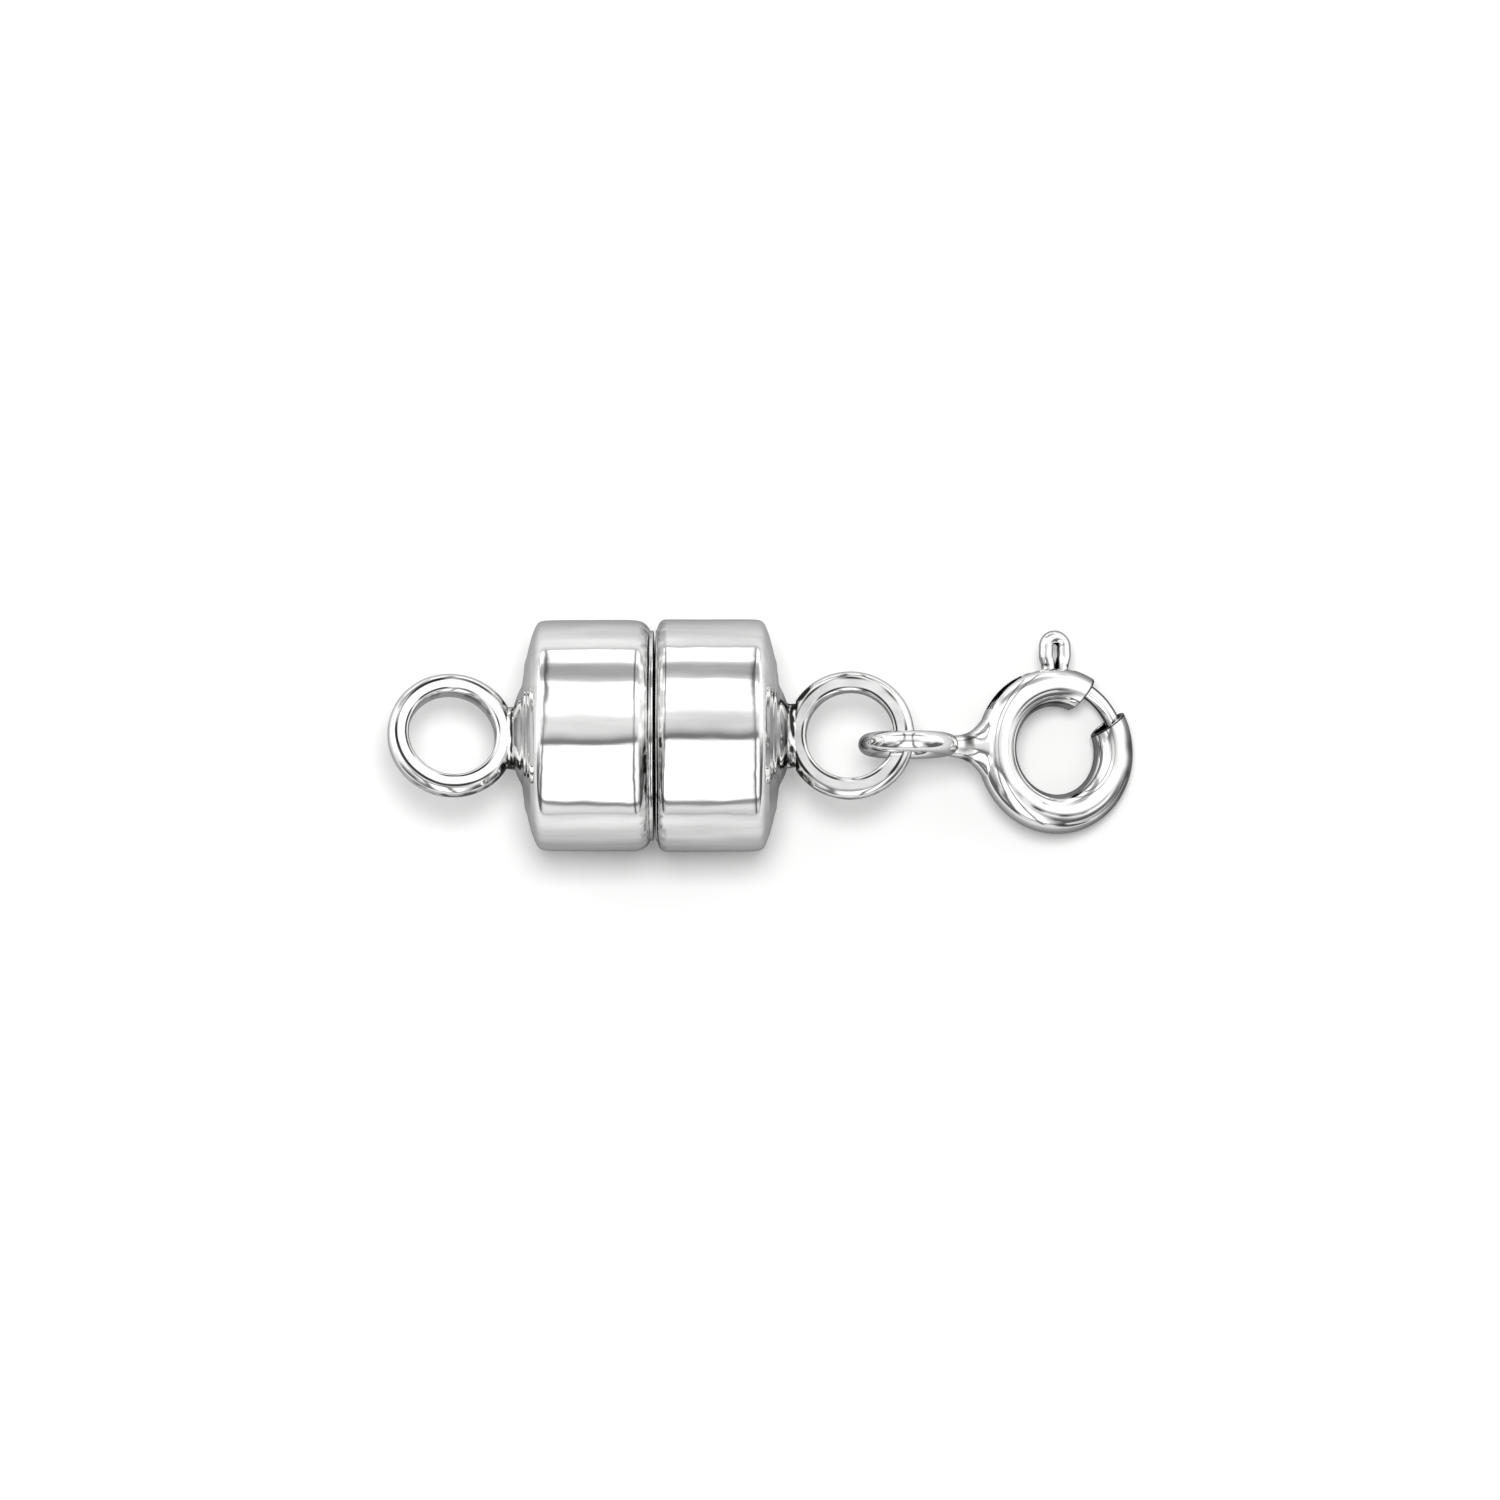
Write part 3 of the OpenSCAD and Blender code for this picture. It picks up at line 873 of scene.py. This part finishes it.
def build_floor():
    """Pale paper, plain to the camera. In the silver it shows painted shade: darker close by, by
    the length of the reflected ray, and a painted contact shadow under the clasp, by ambient
    occlusion.
    """
    size = 0.6
    mesh = bpy.data.meshes.new("floor")
    mesh.from_pydata([(-size, -size, 0), (size, -size, 0), (size, size, 0), (-size, size, 0)],
                     [], [(0, 1, 2, 3)])
    floor = bpy.data.objects.new("floor", mesh)
    bpy.context.scene.collection.objects.link(floor)
    floor.location.z = -0.02 * MM
    material = bpy.data.materials.new("pale_paper")
    material.use_nodes = True
    tree = material.node_tree
    path = node(tree, "ShaderNodeLightPath", (-1000, 0)).outputs
    # a painted contact shadow under the clasp, and painted shade close by, both seen only in the
    # silver
    near = node(tree, "ShaderNodeAmbientOcclusion", (-1000, 250), {"Distance": 0.006}, samples=6)
    under = spread(tree, (-750, 250), near.outputs["AO"], 0.0, 1.0, low=0.40)
    reach = spread(tree, (-750, 0), path["Ray Length"], 0.0, PAPER_REACH)
    seen = greys(tree, (-550, 0), reach, PAPER_SHADE_IN_SILVER)
    shade = mixed(tree, (-400, 250), "RGBA", 1.0, under, seen, blend_type="MULTIPLY")
    paper = mixed(tree, (-200, 0), "RGBA", path["Is Camera Ray"], shade, (0.99, 0.99, 0.985, 1))
    shader = tree.nodes["Principled BSDF"]
    shader.inputs["Roughness"].default_value = 0.9
    shader.inputs["Specular IOR Level"].default_value = 0.1
    tree.links.new(paper, shader.inputs["Base Color"])
    mesh.materials.append(material)


def around(bands):
    """Ramp stops for bands by the angle about the X axis."""
    return [((degrees + 180) / 360, level / WHITEST) for degrees, level in bands]


def build_world():
    """A light tent. Its cloths run along the clasp, with dark joins between them, by the angle
    about the X axis. Its ends are white, behind a thin dark frame."""
    world = bpy.data.worlds.new("light_tent")
    bpy.context.scene.world = world
    world.use_nodes = True
    tree = world.node_tree
    tree.nodes.clear()
    towards = node(tree, "ShaderNodeTexCoord", (-1900, 0)).outputs["Generated"]
    straight = node(tree, "ShaderNodeSeparateXYZ", (-1700, 200), {"Vector": towards})
    far = calc(tree, (-1500, 200), "ABSOLUTE", straight.outputs["X"])

    # the cloth hangs less evenly towards the ends
    folds = node(tree, "ShaderNodeTexNoise", (-1700, -200),
                 {"Vector": towards, "Scale": 2.4, "Detail": 2.0})
    fold = node(tree, "ShaderNodeVectorMath", (-1500, -200),
                {0: folds.outputs["Color"], 1: (0.5, 0.5, 0.5)}, operation="SUBTRACT")
    slack = node(tree, "ShaderNodeVectorMath", (-1300, -200),
                 {0: fold.outputs["Vector"], "Scale": far}, operation="SCALE")
    hung = node(tree, "ShaderNodeVectorMath", (-1100, 0),
                {0: towards, 1: slack.outputs["Vector"]}, operation="ADD")
    split = node(tree, "ShaderNodeSeparateXYZ", (-900, 0),
                 {"Vector": hung.outputs["Vector"]}).outputs

    angle = calc(tree, (-700, 200), "ARCTAN2", split["Y"], split["Z"])
    turn = spread(tree, (-500, 200), angle, -math.pi, math.pi)
    cloths = greys(tree, (-300, 200), turn, around(CLOTHS))

    # the frame leans another way at each end
    frame_shade = greys(tree, (-300, 500), turn, around(FRAME))
    out_x = calc(tree, (-700, -200), "ABSOLUTE", split["X"])
    at_left = calc(tree, (-900, -400), "LESS_THAN", split["X"], 0.0)
    leans = [spread(tree, (-900, -600 - 200 * i), split["Y"], low, 0.8, low_lean, 1.35)
             for i, (low, low_lean) in enumerate(FRAME_LEANS)]
    lean = mixed(tree, (-700, -400), "FLOAT", at_left, *leans)
    leant = calc(tree, (-600, -200), "MULTIPLY", out_x, lean)
    frame_at = greys(tree, (-400, -200), leant, FRAME_COVERS)
    framed = mixed(tree, (0, 200), "RGBA", frame_at, cloths, frame_shade)

    end_at = spread(tree, (-500, -500), out_x, 0.30, 0.60, interpolation_type="SMOOTHSTEP")
    side = spread(tree, (-500, -800), split["Y"], -1.0, 1.0)
    end_cloth = greys(tree, (-300, -800), side, [(at, level / WHITEST) for at, level in ENDS])
    ended = mixed(tree, (200, 0), "RGBA", end_at, framed, end_cloth)

    path = node(tree, "ShaderNodeLightPath", (0, -300)).outputs
    strength = spread(tree, (200, -300), path["Is Diffuse Ray"], 0.0, 1.0, WHITEST,
                      WHITEST * ON_THE_PAPER)
    background = node(tree, "ShaderNodeBackground", (400, 0),
                      {"Color": ended, "Strength": strength})
    node(tree, "ShaderNodeOutputWorld", (600, 0), {"Surface": background.outputs["Background"]})


def build_lamp():
    """A soft lamp overhead, which the silver doesn't mirror."""
    place = Vector((0.0, 0.013, 0.25))
    data = bpy.data.lights.new("overhead", "AREA")
    data.size = 0.075
    data.energy = 0.37
    lamp = bpy.data.objects.new("overhead", data)
    lamp.location = place
    lamp.rotation_euler = (-place).to_track_quat("-Z", "Y").to_euler()
    lamp.visible_glossy = False
    bpy.context.scene.collection.objects.link(lamp)


def build_camera():
    """Near overhead, from a little in front, through a long lens."""
    elevation = math.radians(84.5)
    distance = 0.30
    field = 0.04545
    data = bpy.data.cameras.new("camera")
    data.sensor_fit = "HORIZONTAL"
    data.sensor_width = 36
    data.lens = data.sensor_width * distance / field
    data.clip_start = 0.01
    camera = bpy.data.objects.new("camera", data)
    up = Vector((0, math.sin(elevation), math.cos(elevation)))
    target = Vector((seam_x + 2.88 * MM, 0, axis_z)) - up * 0.44 * MM
    away = Vector((0, -math.cos(elevation), math.sin(elevation)))
    camera.location = target + away * distance
    camera.rotation_euler = (-away).to_track_quat("-Z", "Y").to_euler()
    bpy.context.scene.collection.objects.link(camera)
    bpy.context.scene.camera = camera


# Putting it together

# the near-black colour in each finish is the colour of the painted shade
SILVER = {"Metal": (0.93, 0.93, 0.925, 1), "Painted_shade_colour": (0.028, 0.026, 0.024, 1),
          "Roughness": 0.035, "Haze": 0.05, "Hairlines": 0.5, "Crevice": 0.16 * MM}
NICKEL = {"Metal": (0.70, 0.68, 0.64, 1), "Painted_shade_colour": (0.12, 0.11, 0.10, 1),
          "Roughness": 0.22, "Haze": 0.12, "Hairlines": 1.0, "Crevice": 0.16 * MM,
          "Streaks": 0.9}

build_camera()
marks = polish_and_shade_group()
silver = metal("polished_silver", marks, SILVER | {"Streaks": 0.82}, relief=0.25)
wire_silver = metal("drawn_silver", marks, SILVER | {"Streaks": 0.90}, relief=0.25)
nickel = metal("nickel_plate", marks, NICKEL, relief=0.6)

build_cup("left_cup", LEFT, True, "left_cup_body", silver, filed_at=1.78, seed=3)
build_cup("right_cup", RIGHT, False, "spring_half", silver, filed_at=1.64, seed=11)
build_spring_ring(wire_silver)
build_tongue(wire_silver)
for magnet in ("left_magnet", "right_magnet"):
    mesh = frame["nodes"][magnet].data
    mesh.materials.clear()
    mesh.materials.append(nickel)

build_floor()
build_world()
build_lamp()
bpy.context.scene.view_settings.view_transform = "Standard"
